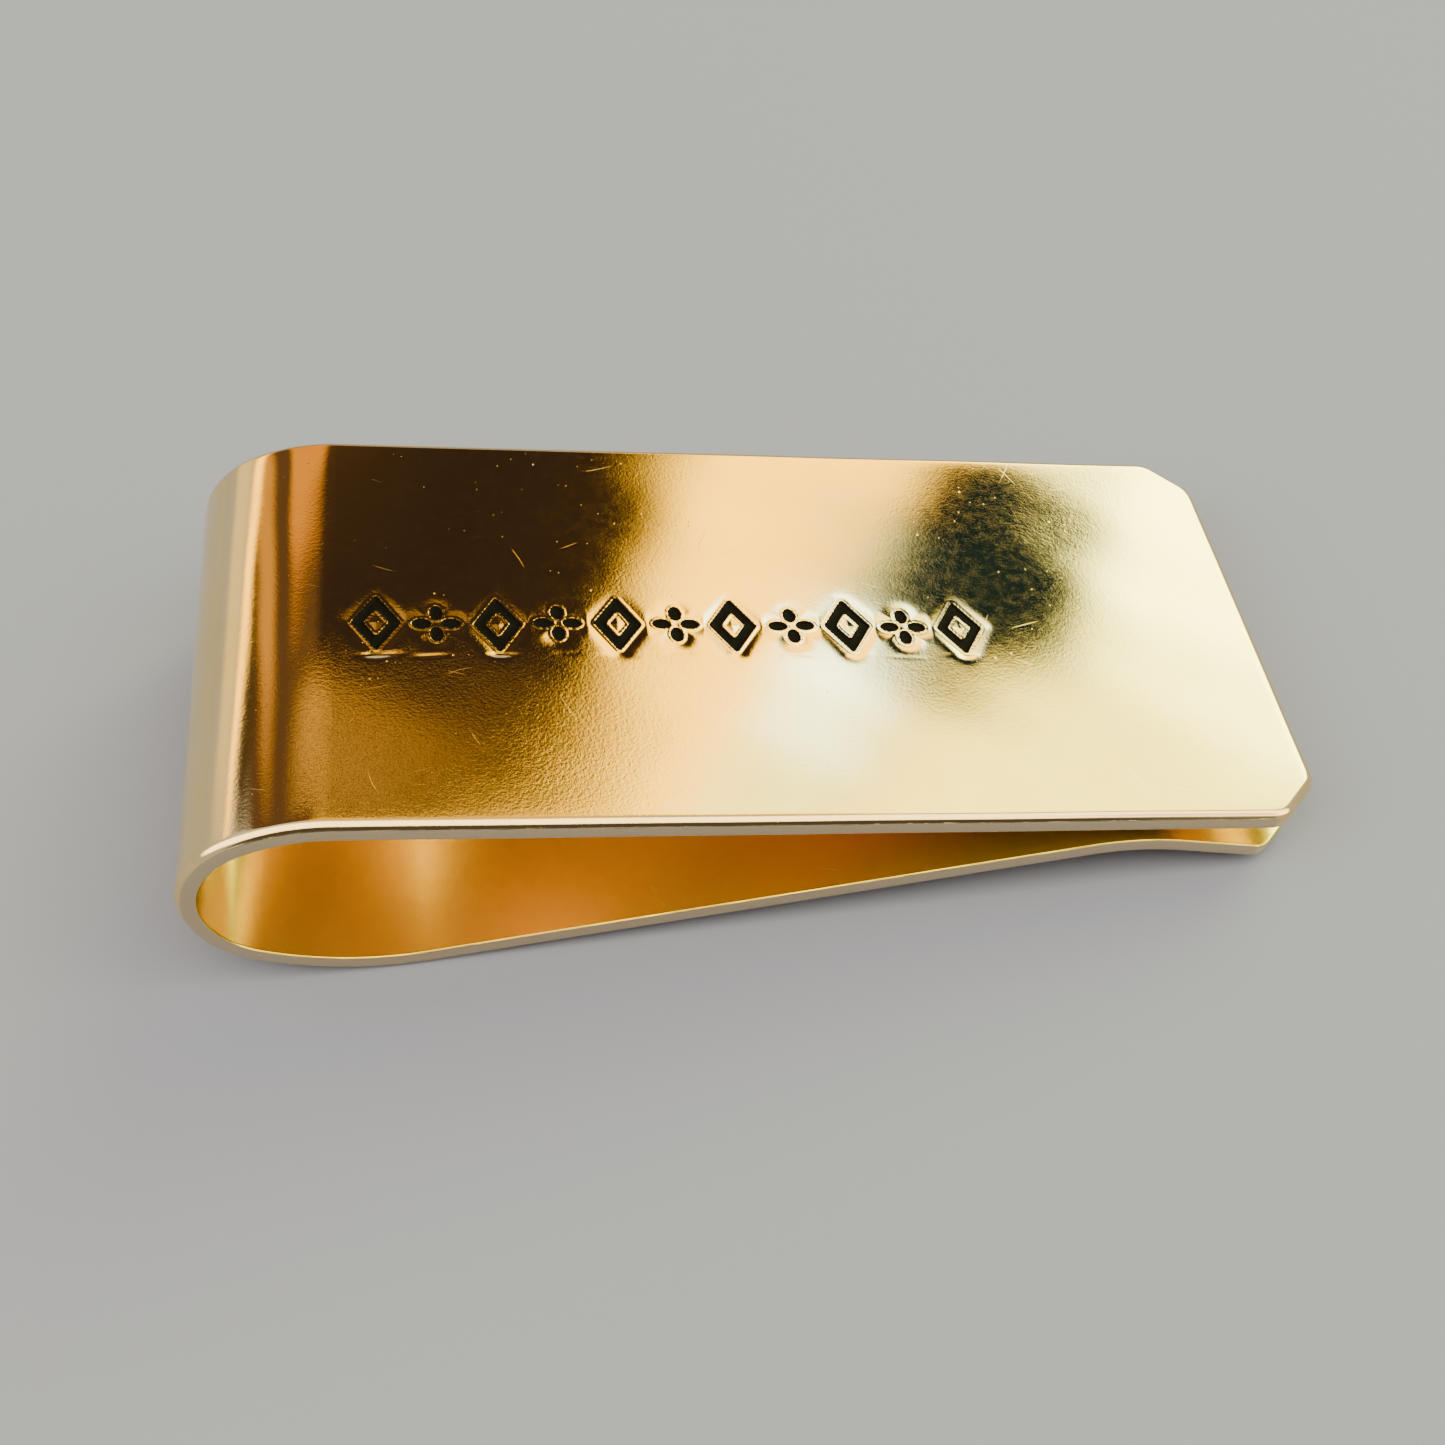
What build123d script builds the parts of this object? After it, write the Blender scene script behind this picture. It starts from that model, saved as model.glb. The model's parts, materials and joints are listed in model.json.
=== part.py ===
"""Spring money clip: one strip of 18 gauge brass bent back on itself, with a row of black-filled marks.

The strip is divided where the real one changes duty: a flat face plate, the bend that acts as the spring,
a straight back leg and the grip lip. The clip lies on the belly of its bend and on its lip, as on a table.
"""
from build123d import *
from math import asin, atan2, cos, sin
import os

os.makedirs("parts", exist_ok=True)

# Strip
width = 25.4
length = 54.0  # outside of the bend to the open end of the face plate
thickness = 1.02
edge_round = 0.35
corner_cut = 2.2
corner_soften = 1.4

# Centre line of the strip: three tangent arcs round the bend, the leg, the pinch bump and the lip
flat_start = 7.0  # the face plate is flat from here to its open end
top_radius = 8.5
top_turn = 29.0
nose_radius = 4.6
nose_turn = 131.5
belly_radius = 13.4
leg_rise = 13.7  # slope of the leg towards the face plate, degrees
leg_length = 32.3
bump_radius = 12.4
bump_turn = 21.0
lip_length = 6.6

# Row of punch marks, centred on row_y, and the black filling in it
mark_count = 11
mark_pitch = 2.9
first_mark = 8.9
row_y = -0.4
punch_depth = 0.30
filling_depth = 0.22
lozenge_height = 3.7
lozenge_width = 2.4
stroke = 0.52
petal_length = 0.95
petal_width = 0.66
petal_reach = 0.70  # mark's centre to each petal's centre


# ---------------------------------------------------------------- centre line, in the strip's side view
# X runs to the open end and Y is the face plate's outward normal, from the plate's outer face
with BuildLine() as centre_line:
    plate_run = Line((length, -thickness / 2), (flat_start, -thickness / 2))
    top_arc = JernArc(plate_run @ 1, plate_run % 1, top_radius, top_turn)
    nose_arc = JernArc(top_arc @ 1, top_arc % 1, nose_radius, nose_turn)
    belly_turn = 180 + leg_rise - top_turn - nose_turn
    belly_arc = JernArc(nose_arc @ 1, nose_arc % 1, belly_radius, belly_turn)
    leg_run = Line(belly_arc @ 1, belly_arc @ 1 + (belly_arc % 1) * leg_length)
    bump_arc = JernArc(leg_run @ 1, leg_run % 1, bump_radius, -bump_turn)
    lip_run = Line(bump_arc @ 1, bump_arc @ 1 + (bump_arc % 1) * lip_length)

# ---------------------------------------------------------------- how the clip lies
# The table is the line that touches the belly and the rounded lower corner of the lip
belly_centre = belly_arc.arc_center
belly_outside = belly_radius + thickness / 2
lip_along = lip_run % 1
lip_below = Vector(lip_along.Y, -lip_along.X)
lip_corner = lip_run @ 1 - lip_along * edge_round + lip_below * (thickness / 2 - edge_round)
reach = lip_corner - belly_centre
tilt = atan2(reach.Y, reach.X) + asin((belly_outside - edge_round) / reach.length)


def rested(point):
    """Place, in X and Z, of a side-view point after the tilt alone."""
    return Vector(point.X * cos(tilt) + point.Y * sin(tilt), 0, point.Y * cos(tilt) - point.X * sin(tilt))


plate_corner = Vector(length - edge_round, -edge_round)
left_end = rested(nose_arc.arc_center).X - nose_radius - thickness / 2
right_end = rested(plate_corner).X + edge_round
table_height = rested(belly_centre).Z - belly_outside

side = Plane(
    origin=(-(left_end + right_end) / 2, 0, -table_height),
    x_dir=(cos(tilt), 0, -sin(tilt)),
    z_dir=(0, -1, 0),
)
plate_face = Plane(origin=side.origin, x_dir=side.x_dir, z_dir=side.y_dir)


def long_edges(strip):
    """Edges along both sides of a stretch of strip, without its cut ends."""
    sides = strip.faces().sort_by(Axis.Y)
    return (sides[0].edges() + sides[-1].edges()).filter_by(lambda edge: edge.length > 1.5 * thickness)


# ---------------------------------------------------------------- row of punch marks
with BuildSketch(plate_face) as punch_marks:
    for index in range(mark_count):
        with Locations((first_mark + index * mark_pitch, row_y)):
            if index % 2 == 0:
                outline = Polygon(
                    (0, lozenge_height / 2),
                    (-lozenge_width / 2, 0),
                    (0, -lozenge_height / 2),
                    (lozenge_width / 2, 0),
                )
                offset(outline, amount=-stroke, kind=Kind.INTERSECTION, mode=Mode.SUBTRACT)
            else:
                with PolarLocations(petal_reach, 4):
                    Ellipse(petal_length / 2, petal_width / 2)

# ---------------------------------------------------------------- face plate
with BuildPart() as face_plate:
    with BuildSketch(plate_face) as plate_outline:
        with Locations((length, 0)):
            Rectangle(length - flat_start, width, align=(Align.MAX, Align.CENTER))
        open_corners = plate_outline.vertices().group_by(Axis.X)[-1]
        chamfer(open_corners, length=corner_cut)
        fillet(plate_outline.vertices().sort_by(Axis.X)[2:], radius=corner_soften)
    extrude(amount=-thickness)
    joined_end = face_plate.faces().sort_by(Axis((0, 0, 0), side.x_dir))[0]
    broad_faces = face_plate.faces().filter_by(plate_face)
    rim = (broad_faces[0].edges() + broad_faces[1].edges()) - joined_end.edges()
    fillet(rim, radius=edge_round)
    extrude(punch_marks.sketch, amount=-punch_depth, mode=Mode.SUBTRACT)
face_plate.part.label = "face_plate"

# ---------------------------------------------------------------- black filling of the punch marks
with BuildPart() as stamp_enamel:
    extrude(punch_marks.sketch, amount=-punch_depth)
    with BuildSketch(plate_face):
        with Locations((length / 2, 0)):
            Rectangle(length, width)
    extrude(amount=-(punch_depth - filling_depth), mode=Mode.SUBTRACT)
stamp_enamel.part.label = "stamp_enamel"

# ---------------------------------------------------------------- bend, the clip's spring
with BuildPart() as spring_bend:
    with BuildSketch(side):
        trace([top_arc, nose_arc, belly_arc], line_width=thickness)
    extrude(amount=width / 2, both=True)
    fillet(long_edges(spring_bend), radius=edge_round)
spring_bend.part.label = "spring_bend"

# ---------------------------------------------------------------- straight back leg
with BuildPart() as back_leg:
    with BuildSketch(side):
        trace(leg_run, line_width=thickness)
    extrude(amount=width / 2, both=True)
    fillet(long_edges(back_leg), radius=edge_round)
back_leg.part.label = "back_leg"

# ---------------------------------------------------------------- pinch bump and lip
with BuildPart() as grip_lip:
    with BuildSketch(side):
        trace([bump_arc, lip_run], line_width=thickness)
    extrude(amount=width / 2, both=True)
    lip_end = grip_lip.faces().sort_by(Axis((0, 0, 0), side.x_dir))[-1]
    chamfer(lip_end.edges().filter_by(lambda edge: edge.length < 1.5 * thickness), length=corner_cut)
    corner_edges = grip_lip.edges().filter_by(lambda edge: abs(edge.length - thickness) < 0.01)
    fillet(corner_edges.sort_by(Axis((0, 0, 0), side.x_dir))[-4:], radius=corner_soften)
    joined_end = grip_lip.faces().sort_by(Axis((0, 0, 0), side.x_dir))[0]
    curved_edges = grip_lip.edges().filter_by(GeomType.CIRCLE)
    line_edges = grip_lip.edges().filter_by(GeomType.LINE)
    outline_edges = line_edges.filter_by(lambda edge: edge.length > 1.5 * thickness)
    fillet((curved_edges + outline_edges) - joined_end.edges(), radius=edge_round)
grip_lip.part.label = "grip_lip"

export_step(face_plate.part, "parts/face_plate.step")
export_step(stamp_enamel.part, "parts/stamp_enamel.step")
export_step(spring_bend.part, "parts/spring_bend.step")
export_step(back_leg.part, "parts/back_leg.step")
export_step(grip_lip.part, "parts/grip_lip.step")
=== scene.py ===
"""Looks of the spring money clip: one bent brass strip with a row of black-filled punch marks.

The strip is drawn as one developed sheet, s running along it from the open end of the face plate and y
across it, then wrapped round the same centre line as the CAD model. Lengths here are in millimetres, and
place() and on_plate() give metres.
"""
import json
import math

import bpy
import numpy as np
from mathutils import Matrix, Vector


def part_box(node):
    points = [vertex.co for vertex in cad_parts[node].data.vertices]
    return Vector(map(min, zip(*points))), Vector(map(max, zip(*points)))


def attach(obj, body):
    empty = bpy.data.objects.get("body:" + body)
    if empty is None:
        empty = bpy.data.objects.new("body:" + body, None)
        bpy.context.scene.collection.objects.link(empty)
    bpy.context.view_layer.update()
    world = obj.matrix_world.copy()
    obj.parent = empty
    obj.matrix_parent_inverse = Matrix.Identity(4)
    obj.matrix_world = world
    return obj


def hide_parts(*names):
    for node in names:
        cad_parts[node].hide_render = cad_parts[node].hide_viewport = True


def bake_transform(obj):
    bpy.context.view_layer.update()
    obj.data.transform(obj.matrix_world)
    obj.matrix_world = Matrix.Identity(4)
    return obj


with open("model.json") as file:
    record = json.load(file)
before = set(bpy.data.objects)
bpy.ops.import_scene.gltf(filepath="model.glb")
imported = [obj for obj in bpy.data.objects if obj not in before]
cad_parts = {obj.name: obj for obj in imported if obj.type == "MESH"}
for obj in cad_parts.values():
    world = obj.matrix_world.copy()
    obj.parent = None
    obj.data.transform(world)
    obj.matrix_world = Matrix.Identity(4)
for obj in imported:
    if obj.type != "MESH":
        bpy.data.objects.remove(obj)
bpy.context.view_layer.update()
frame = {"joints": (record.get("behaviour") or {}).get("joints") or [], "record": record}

MM = 0.001
rng = np.random.default_rng(7)

# ---------------------------------------------------------------- the strip, as the CAD model has it
low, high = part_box("face_plate")
WIDTH = (high.y - low.y) / MM
THICKNESS = 1.02
LENGTH = 54.0
FLAT_START = 7.0
CORNER_CUT = 2.2
CORNER_SOFTEN = 1.4
TOP_RADIUS = 8.5
TOP_TURN = 29.0
NOSE_RADIUS = 4.6
NOSE_TURN = 131.5
LEG_RISE = 13.7  # slope of the leg towards the face plate, degrees
# Each stretch of the centre line: name, length or radius, and turn in degrees, where positive folds it under
STRETCHES = (
    ("plate", LENGTH - FLAT_START, 0),
    ("top", TOP_RADIUS, TOP_TURN),
    ("nose", NOSE_RADIUS, NOSE_TURN),
    ("belly", 13.4, 180 + LEG_RISE - TOP_TURN - NOSE_TURN),
    ("leg", 32.3, 0),
    ("bump", 12.4, -21.0),
    ("lip", 6.6, 0),
)

# ---------------------------------------------------------------- punch marks, as the CAD model has them
MARK_COUNT = 11
MARK_PITCH = 2.9
FIRST_MARK = 8.9
ROW_Y = -0.4
PUNCH_DEPTH = 0.30
FILLING_DEPTH = 0.22
LOZENGE = (1.20, 1.85)  # half width and half height
STROKE = 0.52
PETAL = (0.475, 0.33)  # half length and half width
PETAL_REACH = 0.70

# ---------------------------------------------------------------- the plate's own frame
mounts = {mount["name"]: mount for mount in frame["record"]["mounts"]}
plate_out = Vector(mounts["face"]["axis"])
plate_along = Vector((plate_out.z, 0, -plate_out.x))
pivot = Vector(frame["joints"][0]["pos_m"])
nose_x = FLAT_START - (TOP_RADIUS - NOSE_RADIUS) * math.sin(math.radians(TOP_TURN))
lift_to_face = (Vector(mounts["face"]["pos_m"]) - pivot).dot(plate_out)
plate_origin = pivot - plate_along * nose_x * MM + plate_out * lift_to_face


def on_plate(x, y, lift=0.0):
    """Point in metres of a spot on the face plate: x from the bend, y across, lift above its outer face."""
    return plate_origin + (plate_along * x + Vector((0, 1, 0)) * y + plate_out * lift) * MM


# ---------------------------------------------------------------- developed sheet
def stretch_ends():
    """Developed length, turn in radians and starting place of every stretch."""
    found, s, x, z, heading = [], 0.0, LENGTH, -THICKNESS / 2, math.pi
    for name, size, degrees in STRETCHES:
        turn = math.radians(degrees)
        run = size * abs(turn) if turn else size
        found.append((name, s, run, turn, x, z, heading))
        if turn:
            radius = run / turn
            x += radius * (math.sin(heading + turn) - math.sin(heading))
            z -= radius * (math.cos(heading + turn) - math.cos(heading))
        else:
            x += run * math.cos(heading)
            z += run * math.sin(heading)
        s, heading = s + run, heading + turn
    return found


ENDS = stretch_ends()
TOTAL = ENDS[-1][1] + ENDS[-1][2]
START = {name: s for name, s, *rest in ENDS}


def centre_line(s):
    """Side-view place and heading of the strip's middle at developed length s."""
    x, z, heading = np.zeros_like(s), np.zeros_like(s), np.zeros_like(s)
    for name, start, run, turn, x0, z0, heading0 in ENDS:
        here = (s >= start) & (s <= start + run + 1e-9)
        along = s[here] - start
        if turn:
            bend = turn / run
            heading[here] = heading0 + bend * along
            x[here] = x0 + (np.sin(heading[here]) - math.sin(heading0)) / bend
            z[here] = z0 - (np.cos(heading[here]) - math.cos(heading0)) / bend
        else:
            heading[here] = heading0
            x[here] = x0 + along * math.cos(heading0)
            z[here] = z0 + along * math.sin(heading0)
    return x, z, heading


WAVE_COUNT = 7
WAVE_HEIGHT = 0.0055
WAVE_RATE = (0.11, 0.13)  # the most waves per mm, along and across
# Low waves left in the sheet by rolling and bending: height, waves per mm along and across, and phase
WAVES = [
    (WAVE_HEIGHT * rng.uniform(0.5, 1.0), rng.uniform(-WAVE_RATE[0], WAVE_RATE[0]),
     rng.uniform(-WAVE_RATE[1], WAVE_RATE[1]), rng.uniform(0, 6.3))
    for _ in range(WAVE_COUNT)
]


def waviness(s, y):
    """Height of the sheet's low waves, which both of its faces share."""
    return sum(
        height * np.sin(2 * np.pi * (along * s + across * y) + phase)
        for height, along, across, phase in WAVES
    )


def place(s, y, lift):
    """Points in metres of the wrapped sheet; lift is measured from its middle towards its outer face."""
    x, z, heading = centre_line(s)
    lift = lift + waviness(s, y)
    x, z = x + lift * np.sin(heading), z - lift * np.cos(heading)
    along, out = np.array(plate_along), np.array(plate_out)
    points = np.array(plate_origin) + MM * (x[..., None] * along + z[..., None] * out)
    points[..., 1] += MM * y
    return points


# Outline of a cut and softened corner: distance from the strip's end, and half width there
soften_run = CORNER_SOFTEN * math.tan(math.radians(22.5))
sweep = np.radians(np.linspace(0, 45, 7))
corner_end = np.concatenate([
    CORNER_SOFTEN * (1 - np.cos(sweep)),
    CORNER_CUT + soften_run - CORNER_SOFTEN * np.sin(sweep[::-1]),
])
corner_half = np.concatenate([
    WIDTH / 2 - CORNER_CUT - soften_run + CORNER_SOFTEN * np.sin(sweep),
    WIDTH / 2 - CORNER_SOFTEN * (1 - np.cos(sweep[::-1])),
])


def from_end(s):
    """Distance along the strip to its nearer end."""
    return np.minimum(s, TOTAL - s)


def half_width(s):
    """Half width of the outline at developed length s."""
    return np.interp(from_end(s), corner_end, corner_half)


def inset(s, y):
    """Distance of each point inside the strip's outline."""
    outline = np.stack([
        np.concatenate([[0.0], corner_end, [TOTAL]]),
        np.concatenate([[0.0], corner_half, [WIDTH / 2]]),
    ], axis=-1)
    points = np.stack([from_end(s), np.abs(y)], axis=-1)
    nearest = np.full(s.shape, np.inf)
    for a, b in zip(outline[:-1], outline[1:]):
        t = np.clip(((points - a) @ (b - a)) / ((b - a) @ (b - a)), 0, 1)
        nearest = np.minimum(nearest, np.linalg.norm(points - a - t[..., None] * (b - a), axis=-1))
    return nearest


# The strip's edges: a filed bevel with a tight shoulder outside, and a crisp rounding inside
BEVEL_RUN = 0.36
BEVEL_SLOPE = 0.62
BEVEL_FADE = 0.05
SHOULDER = 0.15
INNER_ROUND = 0.09
EDGE_BAND = 0.60  # the grid keeps its edge rows within this distance of the outline
OUTER_ROWS = np.array([
    0, 0.005, 0.019, 0.042, 0.072, 0.107, SHOULDER, 0.22, 0.3, 0.38, 0.43, 0.47, 0.52, EDGE_BAND,
])
INNER_ROWS = np.concatenate([
    INNER_ROUND * (1 - np.cos(np.radians(np.linspace(0, 90, 7)))),
    np.linspace(INNER_ROUND, EDGE_BAND, 8)[1:],
])


def outer_drop(inside):
    """How far the outer face falls away at a distance inside the outline."""
    rise = BEVEL_RUN - inside
    bevel = BEVEL_SLOPE * 0.5 * (rise + np.sqrt(rise**2 + BEVEL_FADE**2))
    corner = np.clip(SHOULDER - inside, 0, SHOULDER)
    return np.where(inside < EDGE_BAND, bevel, 0) + SHOULDER - np.sqrt(SHOULDER**2 - corner**2)


def inner_drop(inside):
    """How far the inner face rises away at a distance inside the outline."""
    corner = np.clip(INNER_ROUND - inside, 0, INNER_ROUND)
    return INNER_ROUND - np.sqrt(INNER_ROUND**2 - corner**2)


# ---------------------------------------------------------------- punch marks
# Each mark is struck by hand: a small shift, a small turn, and one side a little deeper
MARK_SHIFT = (0.05, 0.06)
MARK_TURN = 2.0  # degrees
MARK_TIP = 0.5
MARKS = [
    (FIRST_MARK + k * MARK_PITCH + rng.uniform(-MARK_SHIFT[0], MARK_SHIFT[0]),
     ROW_Y + rng.uniform(-MARK_SHIFT[1], MARK_SHIFT[1]),
     math.radians(rng.uniform(-MARK_TURN, MARK_TURN)), rng.uniform(-MARK_TIP, MARK_TIP), k % 2 == 0)
    for k in range(MARK_COUNT)
]
MARK_REACH = 2.6  # a mark counts for the points this near along the row
FAR = 9.0  # distance given to the points that no mark counts for
CORNER = 0.12  # softening of a lozenge's corners


def smooth(t):
    """Eased step from 0 to 1."""
    t = np.clip(t, 0, 1)
    return t * t * (3 - 2 * t)


def rhombus(x, y, half_x, half_y):
    """Signed distance to a rhombus with softened corners, negative inside."""
    edge = half_x * half_y / math.hypot(half_x, half_y)
    bx, by = half_x * (1 - CORNER / edge), half_y * (1 - CORNER / edge)
    x, y = np.abs(x), np.abs(y)
    h = np.clip(((bx - 2 * x) * bx - (by - 2 * y) * by) / (bx * bx + by * by), -1, 1)
    distance = np.hypot(x - 0.5 * bx * (1 - h), y - 0.5 * by * (1 + h))
    return distance * np.sign(x * by + y * bx - bx * by) - CORNER


def lozenge(x, y):
    """Signed distance to a lozenge-shaped ring."""
    edge = LOZENGE[0] * LOZENGE[1] / math.hypot(*LOZENGE)
    inner = 1 - STROKE / edge
    return np.maximum(rhombus(x, y, *LOZENGE), -rhombus(x, y, LOZENGE[0] * inner, LOZENGE[1] * inner))


def flower(x, y):
    """Signed distance to four petals round an open middle."""
    x, y = np.abs(x), np.abs(y)
    x, y = np.maximum(x, y) - PETAL_REACH, np.minimum(x, y)
    a = np.hypot(x / PETAL[0], y / PETAL[1])
    b = np.hypot(x / PETAL[0] ** 2, y / PETAL[1] ** 2) + 1e-9
    return a * (a - 1) / b


def mark_distance(x, y):
    """Signed distance to the nearest punch mark, and how far up that mark each point lies."""
    nearest, rise = np.full(x.shape, FAR), np.zeros(x.shape)
    for mark_x, mark_y, turn, tip, is_lozenge in MARKS:
        near = np.abs(x - mark_x) < MARK_REACH
        dx, dy = x[near] - mark_x, y[near] - mark_y
        across = dx * math.cos(turn) + dy * math.sin(turn)
        up = dy * math.cos(turn) - dx * math.sin(turn)
        distance = lozenge(across, up) if is_lozenge else flower(across, up)
        closer = distance < nearest[near]
        nearest[near] = np.where(closer, distance, nearest[near])
        rise[near] = np.where(closer, tip + up / LOZENGE[1], rise[near])
    return nearest, rise


WALL_RUN = 0.06
BURR_HEIGHT = 0.014
BURR_PLACE = 0.050  # distance of the burr's crest from the mark's edge
BURR_REACH = 0.045
BURR_LEAN = 0.4  # share by which the burr is lower at the top of a mark
HOLLOW_DEPTH = 0.020  # a blow leaves a shallow hollow round its mark
HOLLOW_REACH = 0.42
HOLLOW_MIDDLE = 1.1  # share of that depth beside the middle of a mark
HOLLOW_LEAN = 0.8  # and how much less of it there is at the top of a mark
HEEL_DROP = 2.0  # the punch's shank touches down this far below the middle of its mark
HEEL_DEPTH = 0.030
# Each heel mark: depth, shift, drop, tilt, half length and half width. The first marks were struck hardest.
HEELS = [
    (HEEL_DEPTH * rng.uniform(0.3, 1.0) * max(0.2, 1 - k / 7), rng.uniform(-0.45, 0.45),
     rng.uniform(-0.16, 0.08), rng.uniform(-0.10, 0.10), rng.uniform(0.45, 0.95), rng.uniform(0.10, 0.17))
    for k in range(MARK_COUNT)
]


def punched(x, y):
    """Lift that the punches give the face plate's outer face."""
    distance, rise = mark_distance(x, y)
    outside = np.maximum(distance, 0)
    burr = BURR_HEIGHT * np.exp(-(((distance - BURR_PLACE) / BURR_REACH) ** 2)) * (1 - BURR_LEAN * rise)
    hollow = HOLLOW_DEPTH * np.exp(-((outside / HOLLOW_REACH) ** 2)) * (HOLLOW_MIDDLE - HOLLOW_LEAN * rise)
    heels = 0
    for (mark_x, mark_y, *_), (depth, shift, drop, tilt, half_long, half_wide) in zip(MARKS, HEELS):
        across = (x - mark_x - shift) / half_long
        up = (y - mark_y + HEEL_DROP - drop - tilt * (x - mark_x)) / half_wide
        heels = heels + depth * np.exp(-(across**4) - up**2)
    return burr - hollow - heels - PUNCH_DEPTH * smooth(-distance / WALL_RUN)


def snap_to_marks(s, y, spacing):
    """Moves the grid points beside a mark's edge onto it, so that the edge is crisp."""
    x = LENGTH - s
    step = 1e-3
    distance, _ = mark_distance(x, y)
    slope_x = (mark_distance(x + step, y)[0] - distance) / step
    slope_y = (mark_distance(x, y + step)[0] - distance) / step
    move = np.where(np.abs(distance) < 0.5 * spacing, distance, 0)
    return s + move * slope_x, y - move * slope_y


# ---------------------------------------------------------------- meshes
def spaced(start, stop, step):
    """Evenly spaced values from start to stop, about step apart."""
    return np.linspace(start, stop, max(2, round(abs(stop - start) / step) + 1))


FINE = 0.068  # grid spacing round the punch marks
COARSE = 0.45  # across the plain parts of the strip
PLAIN = 0.4  # along the plain part of the face plate
NEAR_BEND = 0.1  # between the marks and the bend
CORNER_FINE = 0.15  # where an open end's corners are cut
CORNER_RUN = 3.6
JOIN_FINE = 0.03  # beside an end that meets the next piece
JOIN_RUN = 0.3
ROW_MARGIN = (1.9, 1.7)  # fine grid beyond the last mark and before the first
HEEL_MARGIN = 0.7  # and below the heel marks
TOP_MARGIN = 0.5  # and above the lozenges
SHARP_ANGLE = 38  # degrees


def stations(*runs):
    """Grid lines along the strip or across it, from (start, stop, spacing) runs."""
    return np.unique(np.round(np.concatenate([spaced(*run) for run in runs]), 6))


def grid(s_lines, y_lines, edge_rows):
    """Sheet grid whose outermost rows follow the outline, with the other rows stretched between them."""
    inner = y_lines / np.abs(y_lines).max()
    rows = []
    for half in half_width(s_lines):
        middle = inner[1:-1] * (half - EDGE_BAND)
        rows.append(np.concatenate([-half + edge_rows, middle, half - edge_rows[::-1]]))
    return np.repeat(s_lines[:, None], len(rows[0]), axis=1), np.array(rows)


def wall(outer_ids, inner_ids, kept):
    """Faces between an edge of the outer sheet and the matching edge of the coarser inner one."""
    faces = []
    for k in range(len(kept) - 1):
        outer_run = [int(n) for n in outer_ids[kept[k]:kept[k + 1] + 1]]
        faces.append(outer_run + [int(inner_ids[k + 1]), int(inner_ids[k])])
    return faces


def quads(ids, flip):
    """Faces between neighbouring points of a grid."""
    a, b, c, d = ids[:-1, :-1], ids[1:, :-1], ids[1:, 1:], ids[:-1, 1:]
    order = (a, d, c, b) if flip else (a, b, c, d)
    return np.stack(order, axis=-1).reshape(-1, 4).tolist()


def make_piece(name, points, faces, sheet_place, material):
    """A smooth-shaded closed piece that remembers where on the sheet each of its points lies."""
    mesh = bpy.data.meshes.new(name)
    mesh.from_pydata(points.reshape(-1, 3).tolist(), [], faces)
    stored = mesh.attributes.new("sheet", "FLOAT_VECTOR", "POINT")
    stored.data.foreach_set("vector", sheet_place.astype(np.float32).ravel())
    mesh.shade_smooth()
    mesh.set_sharp_from_angle(angle=math.radians(SHARP_ANGLE))
    mesh.materials.append(material)
    piece = bpy.data.objects.new(name, mesh)
    bpy.context.scene.collection.objects.link(piece)
    return piece


def inner_stations(s_lines):
    """The same grid lines for the inner face, with its own spacing beside an open end."""
    moved = s_lines.copy()
    count = len(OUTER_ROWS)
    if moved[0] == 0:
        moved[:count] = INNER_ROWS
    if moved[-1] > TOTAL - 1e-3:
        moved[-count:] = TOTAL - INNER_ROWS[::-1]
    return moved


def closed_faces(outer, inner, keep_s, keep_y):
    """Faces of both sides of the sheet and of the four walls between them."""
    faces = quads(outer, flip=True) + quads(inner, flip=False)
    faces += [face[::-1] for face in wall(outer[:, -1], inner[:, -1], keep_s)]
    faces += wall(outer[:, 0], inner[:, 0], keep_s)
    faces += [face[::-1] for face in wall(outer[0], inner[0], keep_y)]
    faces += wall(outer[-1], inner[-1], keep_y)
    return faces


def strip_piece(name, s_lines, y_lines, material, keep_s=None, keep_y=None, punch=False):
    """Closed length of strip. keep_s and keep_y pick the grid lines that its inner face needs."""
    s, y = grid(s_lines, y_lines, OUTER_ROWS)
    keep_s = np.arange(s.shape[0]) if keep_s is None else keep_s
    keep_y = np.arange(s.shape[1]) if keep_y is None else keep_y
    inner_s, inner_y = grid(inner_stations(s_lines), y_lines, INNER_ROWS)
    inner_s, inner_y = inner_s[np.ix_(keep_s, keep_y)], inner_y[np.ix_(keep_s, keep_y)]
    outer_lift = THICKNESS / 2 - outer_drop(inset(s, y))
    if punch:
        s, y = snap_to_marks(s, y, FINE)
        outer_lift = outer_lift + punched(LENGTH - s, y)
    inner_lift = inner_drop(inset(inner_s, inner_y)) - THICKNESS / 2
    all_s = np.concatenate([s.ravel(), inner_s.ravel()])
    all_y = np.concatenate([y.ravel(), inner_y.ravel()])
    lift = np.concatenate([outer_lift.ravel(), inner_lift.ravel()])
    outer = np.arange(s.size).reshape(s.shape)
    inner = s.size + np.arange(inner_s.size).reshape(inner_s.shape)
    faces = closed_faces(outer, inner, keep_s, keep_y)
    sheet_place = np.stack([all_s, all_y, lift], axis=-1)
    return make_piece(name, place(all_s, all_y, lift), faces, sheet_place, material)


def thinned(lines, spacing):
    """Indices of the grid lines that stay when lines closer than spacing are dropped, ends always kept."""
    kept = [0]
    for k in range(1, len(lines)):
        if lines[k] - lines[kept[-1]] >= spacing - 1e-6 or k == len(lines) - 1:
            kept.append(k)
    return np.array(kept)


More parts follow.
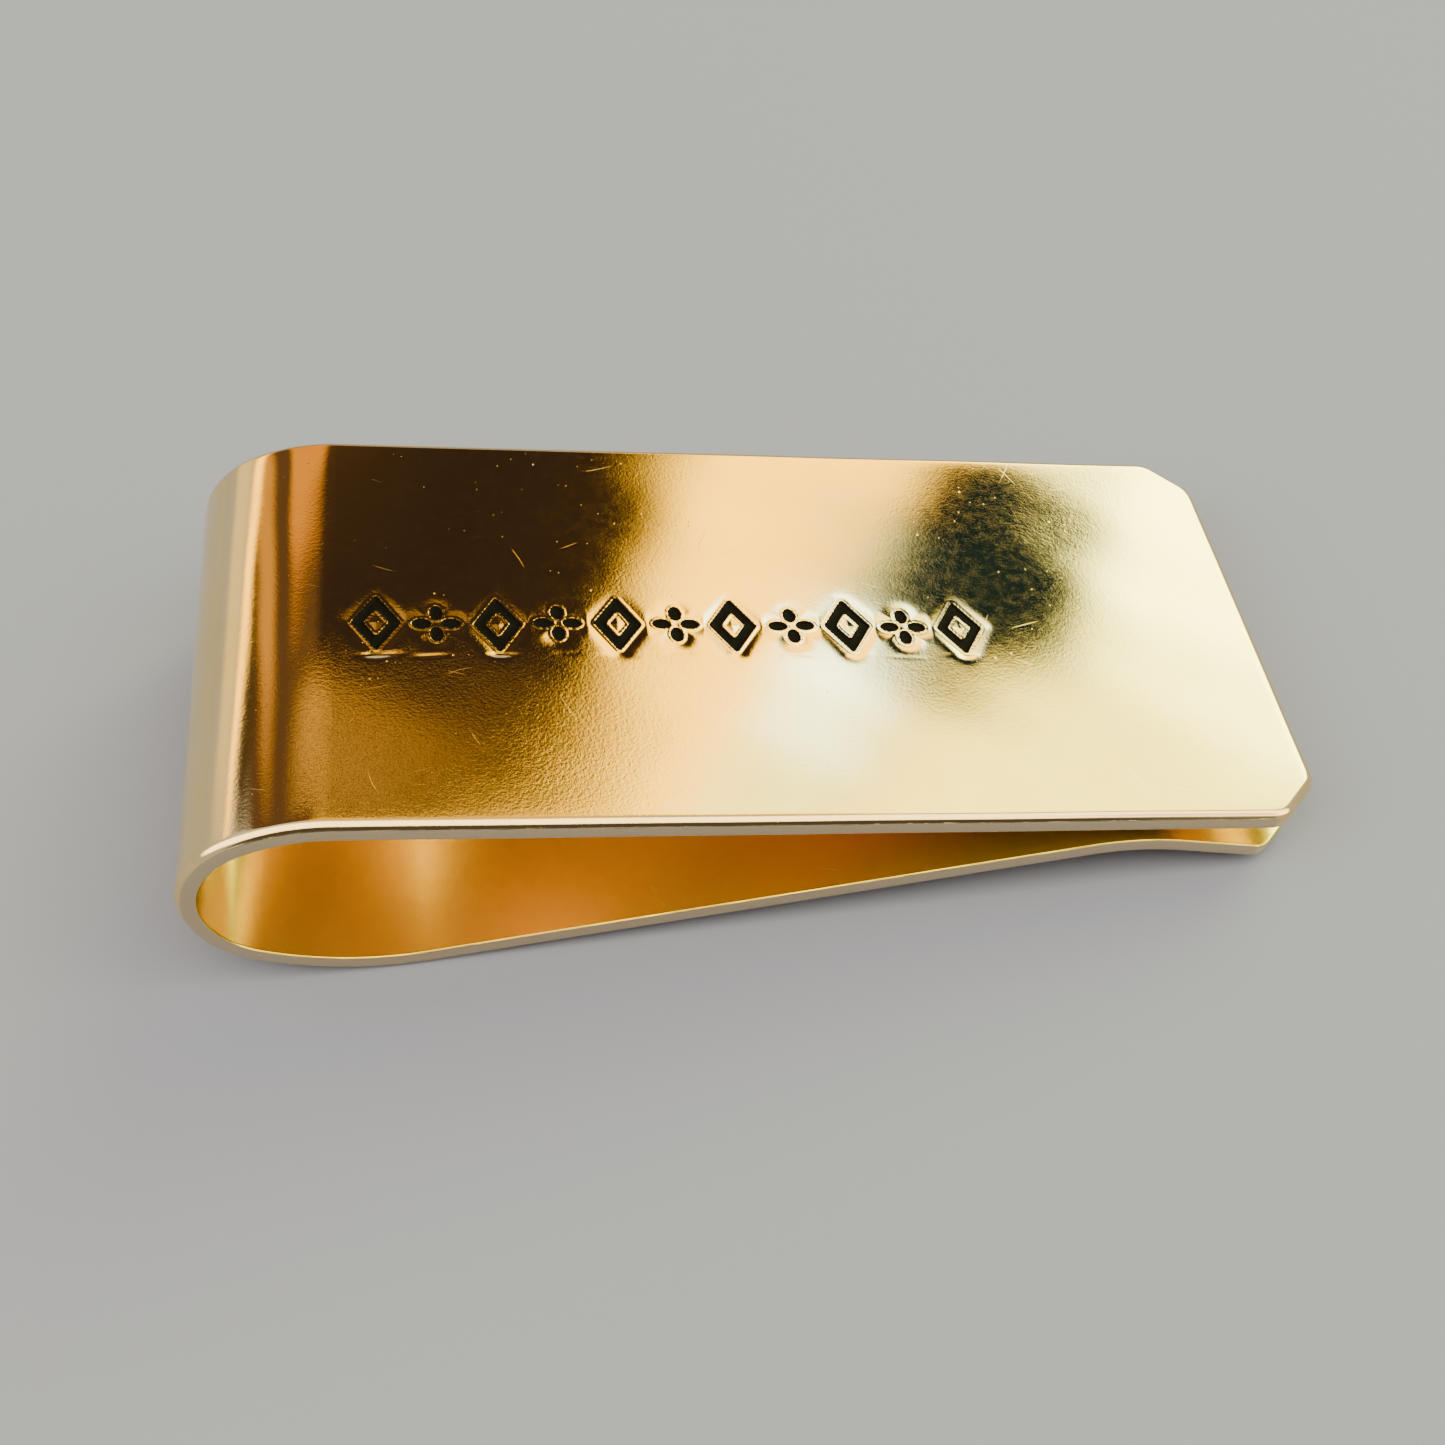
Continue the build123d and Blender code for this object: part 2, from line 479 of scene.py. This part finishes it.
def face_plate_piece(material):
    """The face plate, with a fine grid round the punch marks and a coarse one elsewhere."""
    row_start = LENGTH - FIRST_MARK - (MARK_COUNT - 1) * MARK_PITCH - ROW_MARGIN[0]
    row_stop = LENGTH - FIRST_MARK + ROW_MARGIN[1]
    s_lines = stations((EDGE_BAND, CORNER_RUN, CORNER_FINE), (CORNER_RUN, row_start, PLAIN),
                       (row_start, row_stop, FINE), (row_stop, START["top"], NEAR_BEND))
    s_lines = np.unique(np.concatenate([OUTER_ROWS, s_lines]))
    inner_half = WIDTH / 2 - EDGE_BAND
    row_low = ROW_Y - HEEL_DROP - HEEL_MARGIN
    row_high = ROW_Y + LOZENGE[1] + TOP_MARGIN
    y_lines = stations((-inner_half, row_low, COARSE), (row_low, row_high, FINE),
                       (row_high, inner_half, COARSE))
    edge = len(OUTER_ROWS)
    keep_s = np.unique(np.concatenate([np.arange(edge), thinned(s_lines, PLAIN)]))
    full_y = grid(s_lines[-2:], y_lines, OUTER_ROWS)[1][-1]
    far_edge = np.arange(len(full_y) - edge, len(full_y))
    keep_y = np.unique(np.concatenate([np.arange(edge), thinned(full_y, COARSE - 0.01), far_edge]))
    return strip_piece("face_plate_sheet", s_lines, y_lines, material, keep_s, keep_y, punch=True)


def plain_piece(name, first, last, material, spacing):
    """A length of strip without marks, finer beside its ends so that neighbours meet without a crease."""
    start = START[first]
    stop = START[last] if last else TOTAL
    run_start = start + JOIN_RUN
    join = (start, run_start, JOIN_FINE)
    if last:
        run_stop = stop - JOIN_RUN
        s_lines = stations(join, (run_start, run_stop, spacing), (run_stop, stop, JOIN_FINE))
    else:
        run_stop = stop - CORNER_RUN
        s_lines = stations(join, (run_start, run_stop, spacing), (run_stop, stop - EDGE_BAND, CORNER_FINE))
        s_lines = np.concatenate([s_lines[:-1], TOTAL - OUTER_ROWS[::-1]])
    inner_half = WIDTH / 2 - EDGE_BAND
    return strip_piece(name, s_lines, stations((-inner_half, inner_half, COARSE)), material)


# ---------------------------------------------------------------- black filling
FILLING_GRID = 0.05
FILLING_PATCH = (1.4, 2.05)  # half length and half height of the grid laid over a mark
FILLING_OVERLAP = (0.03, 0.01)  # how far the filling runs on into the brass walls and floor
MENISCUS = (0.045, 0.16)  # how far the filling climbs the walls, and over what reach
LUMP_HEIGHT = 0.008
SINK = 0.02  # how far the filling has shrunk below the CAD model's
RIM_DROP = 0.05  # the filling stays at least this far below the face
# The four neighbours of a grid cell, and the two corners of the side that it shares with each
NEIGHBOURS = (
    ((-1, 0), (0, 1), (0, 0)),
    ((1, 0), (1, 0), (1, 1)),
    ((0, -1), (0, 0), (1, 0)),
    ((0, 1), (1, 1), (0, 1)),
)


def filling_top(x, y, distance):
    """Lift of the filling's upper side, which climbs the walls and is a little lumpy."""
    climb = MENISCUS[0] * smooth(1 + distance / MENISCUS[1])
    lumps = LUMP_HEIGHT * np.sin(7.1 * x + 2.3 * y) * np.sin(5.3 * y - 3.1 * x)
    top = THICKNESS / 2 - (PUNCH_DEPTH - FILLING_DEPTH) + climb + lumps - SINK
    return np.minimum(top, THICKNESS / 2 - RIM_DROP)


def rim_faces(inside, top_ids, bottom_ids):
    """Faces down the sides of an island, wherever a cell inside it has a neighbour outside it."""
    faces = []
    padded = np.pad(inside, 1)
    for (di, dj), a, b in NEIGHBOURS:
        beside = padded[1 + di:padded.shape[0] - 1 + di, 1 + dj:padded.shape[1] - 1 + dj]
        for i, j in np.argwhere(inside & ~beside):
            p = (i + a[0], j + a[1])
            q = (i + b[0], j + b[1])
            faces.append([int(top_ids[p]), int(bottom_ids[p]), int(bottom_ids[q]), int(top_ids[q])])
    return faces


def filling_island(mark_x, mark_y, first):
    """Points, sheet places and faces of the filling in one mark; its points are numbered from first."""
    x_lines = spaced(mark_x - FILLING_PATCH[0], mark_x + FILLING_PATCH[0], FILLING_GRID)
    y_lines = spaced(mark_y - FILLING_PATCH[1], mark_y + FILLING_PATCH[1], FILLING_GRID)
    x, y = np.meshgrid(x_lines, y_lines, indexing="ij")
    distance, _ = mark_distance(x, y)
    middle, _ = mark_distance(x[:-1, :-1] + FILLING_GRID / 2, y[:-1, :-1] + FILLING_GRID / 2)
    inside = middle < FILLING_OVERLAP[0]
    top = filling_top(x, y, distance)
    bottom = np.full(x.shape, THICKNESS / 2 - PUNCH_DEPTH - FILLING_OVERLAP[1])
    top_ids = first + np.arange(x.size).reshape(x.shape)
    bottom_ids = top_ids + x.size
    faces = []
    for ids, flip in ((top_ids, False), (bottom_ids, True)):
        every = np.array(quads(ids, flip)).reshape(inside.shape + (4,))
        faces += every[inside].tolist()
    faces += rim_faces(inside, top_ids, bottom_ids)
    s = LENGTH - x
    points = [place(s, y, lift).reshape(-1, 3) for lift in (top, bottom)]
    sheet_places = [np.stack([s, y, lift], axis=-1).reshape(-1, 3) for lift in (top, bottom)]
    return points, sheet_places, faces


def filling_piece(material):
    """Black filling: one closed island under each stroke, its rim hidden in the brass wall."""
    points, sheet_places, faces = [], [], []
    first = 0
    for mark_x, mark_y, *_ in MARKS:
        new_points, new_places, new_faces = filling_island(mark_x, mark_y, first)
        points += new_points
        sheet_places += new_places
        faces += new_faces
        first += sum(len(part) for part in new_points)
    points, sheet_places = np.concatenate(points), np.concatenate(sheet_places)
    used = np.unique(np.array(faces))
    renumber = np.zeros(len(points), int)
    renumber[used] = np.arange(len(used))
    faces = renumber[np.array(faces)].tolist()
    return make_piece("stamp_filling", points[used], faces, sheet_places[used], material)


# ---------------------------------------------------------------- node helpers
class Graph:
    """Builds a node tree, one node to a call. A socket given as an input is linked, and a number is set."""

    def __init__(self, tree):
        self.tree = tree
        tree.nodes.clear()

    def add(self, kind, inputs=None, **settings):
        node = self.tree.nodes.new(kind)
        for key, value in settings.items():
            setattr(node, key, value)
        for key, value in (inputs or {}).items():
            if isinstance(value, bpy.types.NodeSocket):
                self.tree.links.new(value, node.inputs[key])
            else:
                node.inputs[key].default_value = value
        return node

    def math(self, operation, a, b=0.0):
        return self.add("ShaderNodeMath", {0: a, 1: b}, operation=operation).outputs[0]

    def plus(self, total, value, weight):
        """The total with a weighted value added."""
        return self.math("ADD", total, self.math("MULTIPLY", value, weight))

    def dot(self, a, b):
        return self.add("ShaderNodeVectorMath", {0: a, 1: b}, operation="DOT_PRODUCT").outputs["Value"]

    def ramp(self, value, low, high, out_low=0.0, out_high=1.0):
        inputs = {"Value": value, "From Min": low, "From Max": high, "To Min": out_low, "To Max": out_high}
        return self.add("ShaderNodeMapRange", inputs, interpolation_type="SMOOTHSTEP").outputs["Result"]

    def noise(self, place, scale, detail=2.0, roughness=0.5):
        inputs = {"Vector": place, "Scale": scale, "Detail": detail, "Roughness": roughness}
        return self.add("ShaderNodeTexNoise", inputs).outputs["Fac"]

    def distance(self, place, centre):
        inputs = {0: place, 1: centre}
        return self.add("ShaderNodeVectorMath", inputs, operation="DISTANCE").outputs["Value"]

    def warped(self, place, scale, reach):
        """Sheet place pushed about by a slow noise."""
        noise = self.add("ShaderNodeTexNoise", {"Vector": place, "Scale": scale, "Detail": 1.0})
        inputs = {0: noise.outputs["Color"], "Scale": reach}
        push = self.add("ShaderNodeVectorMath", inputs, operation="SCALE").outputs[0]
        return self.add("ShaderNodeVectorMath", {0: place, 1: push}, operation="ADD").outputs[0]

    def voronoi(self, place, scale):
        return self.add("ShaderNodeTexVoronoi", {"Vector": place, "Scale": scale}).outputs

    def chosen(self, cells, share):
        """1 in the few Voronoi cells above a share, 0 in the rest."""
        red = self.add("ShaderNodeSeparateColor", {0: cells["Color"]}).outputs[0]
        return self.math("GREATER_THAN", red, share)

    def stretched(self, place, turn, scale):
        """Sheet place turned about the sheet's normal, then scaled along and across."""
        turned = self.add("ShaderNodeMapping", {"Vector": place, "Rotation": (0, 0, turn)}).outputs[0]
        return self.add("ShaderNodeMapping", {"Vector": turned, "Scale": scale}).outputs[0]

    def mix(self, share, a, b):
        """Colour between a and b."""
        node = self.add("ShaderNodeMix", data_type="RGBA")
        for key, value in (("Factor", share), ("A", a), ("B", b)):
            socket = [s for s in node.inputs if s.name == key and s.enabled][0]
            if isinstance(value, bpy.types.NodeSocket):
                self.tree.links.new(value, socket)
            else:
                socket.default_value = value
        return [s for s in node.outputs if s.enabled][0]

    def bump(self, height):
        """Normal from a height in millimetres."""
        return self.add("ShaderNodeBump", {"Height": height, "Strength": 1.0, "Distance": MM}).outputs[0]

    def surface(self, inputs):
        """Ends the tree with a Principled shader."""
        shader = self.add("ShaderNodeBsdfPrincipled", inputs)
        self.add("ShaderNodeOutputMaterial", {"Surface": shader.outputs[0]})


def new_material(name):
    """An empty material and the graph of its node tree."""
    material = bpy.data.materials.new(name)
    material.use_nodes = True
    return material, Graph(material.node_tree)


def colour(r, g, b, strength=1.0):
    """Colour socket value from red, green and blue."""
    return (r * strength, g * strength, b * strength, 1.0)


# ---------------------------------------------------------------- materials
PEEL_HEIGHT = 0.0017
GRAIN_HEIGHT = 0.00018
SCRATCH_DEPTH = 0.0012
PIT_DEPTH = 0.0065
SHEAR_HEIGHT = 0.035  # tears of the sheared edge
WORN_SPOT = (LENGTH - 12.0, -9.0, THICKNESS / 2)  # the peel is strongest here, near the bend
SHEARED = (WIDTH / 2 - 0.05, WIDTH / 2 - 0.01)  # where the face ends and its sheared edge begins; past it the side walls also get a painted darker shade
INNER_FACE = (-0.50, -0.43)  # the inner face lies below this, and its rounded edges above
SCRATCH_SETS = (  # turn, cells per mm along and across, and the share of cells without a scratch
    (0.35, 0.25, 18.0, 0.990),
    (1.15, 0.16, 17.0, 0.988),
    (2.0, 0.20, 18.0, 0.992),
    (2.75, 0.35, 20.0, 0.990),
)
PIT_SETS = ((1.3, 0.80), (2.6, 0.72))  # cells per mm, and the share of cells without a pit


def orange_peel(graph, sheet):
    """Orange peel that comes and goes over the sheet, and is strongest round the worn spot."""
    patches = graph.ramp(graph.noise(sheet, 0.22, 3.0), 0.35, 0.65, 0.85, 1.4)
    worn = graph.ramp(graph.distance(sheet, WORN_SPOT), 3.0, 18.0, 1.3, 0.0)
    return graph.math("MULTIPLY", graph.noise(sheet, 7.0, 4.0, 0.58), graph.math("ADD", patches, worn))


def hairlines(graph, sheet):
    """Fine scratches: long thin Voronoi cells, of which a few are chosen."""
    bowed = graph.warped(sheet, 0.35, 0.6)
    scratches = 0.0
    for turn, along, across, share in SCRATCH_SETS:
        cells = graph.voronoi(graph.stretched(bowed, turn, (along, across, 1.0)), 1.0)
        line = graph.ramp(cells["Distance"], 0.05, 0.26, 1.0, 0.0)
        scratches = graph.plus(scratches, line, graph.chosen(cells, share))
    return scratches


def pits(graph, sheet):
    """Small pits: the middles of a few Voronoi cells."""
    found = 0.0
    for scale, share in PIT_SETS:
        cells = graph.voronoi(sheet, scale)
        dot = graph.ramp(cells["Distance"], 0.02, 0.085, 1.0 / scale, 0.0)
        found = graph.plus(found, dot, graph.chosen(cells, share))
    return found


def brass():
    """Polished rolled brass with orange peel, fine grain, scratches, pits and sheared edges, with painted
    shade on its side walls and a painted deeper orange on its inner face.
    """
    material, graph = new_material("brass")
    sheet = graph.add("ShaderNodeAttribute", attribute_name="sheet").outputs["Vector"]
    parts = graph.add("ShaderNodeSeparateXYZ", {0: sheet}).outputs
    sheared_edge_and_shade = graph.ramp(graph.math("ABSOLUTE", parts["Y"]), *SHEARED)
    inside = graph.ramp(parts["Z"], *INNER_FACE, 1.0, 0.0)
    scratches = hairlines(graph, sheet)
    shear = graph.noise(graph.stretched(sheet, 0.0, (0.6, 1.0, 14.0)), 1.0, 3.0)

    height = graph.math("MULTIPLY", orange_peel(graph, sheet), PEEL_HEIGHT)
    height = graph.plus(height, graph.noise(sheet, 13.0, 2.0, 0.6), GRAIN_HEIGHT)
    height = graph.plus(height, scratches, -SCRATCH_DEPTH)
    height = graph.plus(height, pits(graph, sheet), -PIT_DEPTH)
    height = graph.plus(height, graph.math("MULTIPLY", shear, sheared_edge_and_shade), SHEAR_HEIGHT)

    patina = graph.ramp(graph.noise(sheet, 0.35, 4.0, 0.6), 0.35, 0.75)
    tone = graph.mix(patina, colour(0.910, 0.665, 0.300), colour(0.885, 0.630, 0.265))
    # Painted shade: the side walls are tinted a darker brown-grey to stand in for their shaded look. The
    # shear tears and extra roughness on them are real.
    tone = graph.mix(sheared_edge_and_shade, tone, colour(0.68, 0.53, 0.32))
    # Painted light: the inner face's deeper orange stands in for the saturated glow of light bouncing
    # between the plate and the leg. Its higher roughness and lower metallic belong to the unpolished face
    # itself.
    tone = graph.mix(inside, tone, colour(0.93, 0.68, 0.06))
    roughness = graph.ramp(graph.noise(sheet, 1.7, 4.0, 0.65), 0.3, 0.7, 0.03, 0.07)
    for area, extra in ((sheared_edge_and_shade, 0.2), (scratches, 0.08), (inside, 0.18)):
        roughness = graph.plus(roughness, area, extra)
    metallic = graph.plus(1.0, inside, -0.05)
    normal = graph.bump(height)
    graph.surface({"Base Color": tone, "Metallic": metallic, "Roughness": roughness, "Normal": normal})
    return material


def black_filling():
    """Wiped black filling: nearly black, uneven gloss, with the odd fleck of brass dust."""
    material, graph = new_material("black_filling")
    sheet = graph.add("ShaderNodeAttribute", attribute_name="sheet").outputs["Vector"]
    grain = graph.noise(sheet, 7.0, 4.0, 0.65)
    dust = graph.ramp(graph.noise(sheet, 22.0, 2.0), 0.70, 0.76)
    tone = graph.mix(grain, colour(0.0012, 0.0011, 0.0012), colour(0.004, 0.0035, 0.003))
    tone = graph.mix(dust, tone, colour(0.05, 0.035, 0.015))
    roughness = graph.ramp(grain, 0.3, 0.7, 0.42, 0.68)
    normal = graph.bump(graph.math("MULTIPLY", grain, 0.018))
    graph.surface({"Base Color": tone, "Roughness": roughness, "Normal": normal, "Specular IOR Level": 0.04})
    return material


FLOOR_TONE = (0.247, 0.269, 0.385)


def pale_floor():
    """Plain dull floor."""
    material, graph = new_material("pale_floor")
    graph.surface({"Base Color": colour(*FLOOR_TONE), "Roughness": 0.8})
    return material


# ---------------------------------------------------------------- build the pieces
metal, black = brass(), black_filling()

face = face_plate_piece(metal)
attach(face, "plate")
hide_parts("face_plate")

# Two points across the hinge, from the plate's inner face to a place just short of the leg's; they are
# worked out here but nothing uses them
BLEND_MARGIN = 0.5
bend = plain_piece("spring_bend_sheet", "top", "leg", metal, 0.14)
bend_start = on_plate(nose_x, 0, -THICKNESS)
bend_end = bend_start + plate_out * (2 * (pivot - bend_start).dot(plate_out) + BLEND_MARGIN * MM)
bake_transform(bend)
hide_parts("spring_bend")

leg = plain_piece("back_leg_sheet", "leg", "bump", metal, 0.3)
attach(leg, "leg")
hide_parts("back_leg")

lip = plain_piece("grip_lip_sheet", "bump", None, metal, 0.16)
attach(lip, "leg")
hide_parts("grip_lip")

filling = filling_piece(black)
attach(filling, "plate")
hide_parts("stamp_enamel")

# ---------------------------------------------------------------- floor
FLOOR_HALF = 2.0  # metres
floor_mesh = bpy.data.meshes.new("floor")
floor_corners = [(x * FLOOR_HALF, y * FLOOR_HALF, 0) for x, y in ((-1, -1), (1, -1), (1, 1), (-1, 1))]
floor_mesh.from_pydata(floor_corners, [], [(0, 1, 2, 3)])
floor_mesh.materials.append(pale_floor())
floor = bpy.data.objects.new("floor", floor_mesh)
bpy.context.scene.collection.objects.link(floor)

# ---------------------------------------------------------------- camera
def rolled(sideways, upwards, degrees):
    """Both directions, turned together about the line that is square to them."""
    angle = math.radians(degrees)
    across = sideways * math.cos(angle) + upwards * math.sin(angle)
    return across, upwards * math.cos(angle) - sideways * math.sin(angle)


CAMERA_PLACE = (8.65, -61.52, 63.50)  # x from the bend, y across, and lift above the face plate
CAMERA_AIM = (24.92, -6.77)
CAMERA_ROLL = -2.07  # degrees
LENS = 45.2

eye = on_plate(*CAMERA_PLACE)
looking = (on_plate(*CAMERA_AIM) - eye).normalized()
level = looking.cross(Vector((0, 0, 1))).normalized()
right, up = rolled(level, level.cross(looking), CAMERA_ROLL)
camera_data = bpy.data.cameras.new("camera")
camera_data.lens = LENS
camera_data.clip_start = 0.001
camera = bpy.data.objects.new("camera", camera_data)
camera.matrix_world = Matrix.Translation(eye) @ Matrix((right, up, -looking)).transposed().to_4x4()
bpy.context.scene.collection.objects.link(camera)
bpy.context.scene.camera = camera


# ---------------------------------------------------------------- studio light
def mirrored(x, y, normal=plate_out):
    """Direction that the main camera sees mirrored at a spot of the face plate, or of its near bevel."""
    ray = (on_plate(x, y) - eye).normalized()
    return (ray - 2 * ray.dot(normal) * normal).normalized()


def compass(azimuth, elevation):
    """Direction from a compass angle, +Y towards +X, and a height above the horizon, both in degrees."""
    a, e = math.radians(azimuth), math.radians(elevation)
    return Vector((math.sin(a) * math.cos(e), math.cos(a) * math.cos(e), math.sin(e)))


bevel_out = (plate_out - Vector((0, 1, 0)) * BEVEL_SLOPE).normalized()

# Cards hung round the studio: direction of the middle, width and height and turn in degrees, softness,
# squareness (2 is an oval, more is a rectangle), colour and strength. Later cards hang in front.
CARDS = (
    # behind the camera: a bright sheet overhead, the dark photographer below it, and a pink cloth
    (compass(180, 68), 150, 42, 0, 0.30, 4, (1.00, 0.90, 0.62), 5.0),
    (compass(182, 24), 70, 60, 0, 0.25, 4, (0.10, 0.09, 0.085), 1.0),
    (mirrored(48, -12.4, bevel_out), 9, 10, 0, 0.60, 2, (1.00, 0.66, 0.60), 3.0),
    # to the right: two large diffusers
    (compass(42, 46), 36, 24, 0, 0.50, 4, (1.00, 1.04, 0.30), 4.8),
    (compass(42, 25), 34, 22, 0, 0.30, 4, (0.95, 1.12, 0.55), 11.0),
    # ahead: a warm wall with a bright window strip, a dark doorway beside it, and the dim room below them
    (compass(5, 11), 75, 27, 0, 0.25, 4, (0.42, 0.33, 0.20), 1.0),
    (compass(24, 42), 15, 30, 0, 0.35, 4, (1.00, 0.66, 0.03), 5.6),
    (compass(30.5, 44.5), 4.5, 13, 10, 0.60, 2, (0.95, 1.00, 0.40), 4.2),
    (compass(14, 60.5), 34, 18, 0, 0.20, 4, (1.60, 0.95, 0.08), 1.0),
    (compass(6.5, 42.5), 21.5, 21, -3, 0.15, 5, (0.042, 0.028, 0.024), 1.0),
    (mirrored(36, 2.2), 6, 6, -28, 0.70, 2, (1.30, 1.60, 1.10), 1.0),
    (mirrored(41.0, 4.2), 6.6, 8.2, -28, 0.36, 2.3, (0.008, 0.028, 0.050), 1.0),
    (mirrored(30.3, -4.2), 3.4, 3.4, 0, 0.90, 2, (0.70, 1.00, 1.15), 9.0),
    # to the left: curtains with gaps between them, and a low window
    (compass(-24, 42), 30, 34, 0, 0.20, 4, (0.15, 0.085, 0.045), 1.0),
    (compass(1, 37.5), 10, 9, 0, 0.80, 3, (0.11, 0.065, 0.03), 1.0),
    (compass(-9.5, 35.0), 16, 15.5, 0, 0.17, 4, (1.00, 0.42, 0.03), 1.20),
    (compass(-2.0, 49.6), 19, 1.7, 0, 0.75, 3, (1.40, 0.78, 0.10), 1.15),
    (compass(-31, 33), 5.5, 16, 0, 0.60, 3, (1.00, 0.50, 0.08), 1.0),
    (compass(-41, 32.5), 8, 6, 0, 0.50, 3, (0.10, 0.07, 0.03), 1.0),
    (compass(-40, 17), 22, 12, 0, 0.50, 4, (1.00, 0.85, 0.50), 1.4),
    (compass(-39, 26.5), 20, 3.6, 0, 0.60, 4, (1.00, 0.60, 0.05), 5.0),
)


def card_shown(graph, direction, middle, width, tall, turn, softness, squareness):
    """1 where a direction meets a card, fading to 0 across its soft border."""
    sideways = middle.cross(Vector((0, 0, 1))).normalized()
    card_x, card_y = rolled(sideways, sideways.cross(middle), turn)
    ahead = graph.dot(direction, middle)
    safe = graph.math("MAXIMUM", ahead, 0.01)
    total = 0.0
    for axis, size in ((card_x, width), (card_y, tall)):
        offset = graph.math("DIVIDE", graph.dot(direction, axis), safe)
        share = graph.math("DIVIDE", graph.math("ABSOLUTE", offset), math.tan(math.radians(size / 2)))
        total = graph.math("ADD", graph.math("POWER", share, squareness), total)
    reach = graph.math("POWER", total, 1 / squareness)
    shown = graph.ramp(reach, 1 - softness, 1 + softness, 1.0, 0.0)
    return graph.math("MULTIPLY", shown, graph.math("GREATER_THAN", ahead, 0.02))


SKY_LOW = (0.62, 0.62, 0.63)
SKY_HIGH = (1.0, 1.0, 1.0)
BACKDROP = (0.78, 0.78, 0.79)


def studio():
    """Soft surroundings with the cards in them; the camera itself sees only a plain backdrop."""
    world = bpy.data.worlds.new("studio")
    bpy.context.scene.world = world
    world.use_nodes = True
    graph = Graph(world.node_tree)
    direction = graph.add("ShaderNodeTexCoord").outputs["Generated"]
    height = graph.dot(direction, (0, 0, 1))
    light = graph.mix(graph.ramp(height, -0.1, 0.9), colour(*SKY_LOW), colour(*SKY_HIGH))
    for *card, tint, strength in CARDS:
        light = graph.mix(card_shown(graph, direction, *card), light, colour(*tint, strength))
    seen = graph.add("ShaderNodeLightPath").outputs["Is Camera Ray"]
    light = graph.mix(seen, light, colour(*BACKDROP))
    background = graph.add("ShaderNodeBackground", {"Color": light, "Strength": 1.0})
    graph.add("ShaderNodeOutputWorld", {"Surface": background.outputs[0]})


studio()
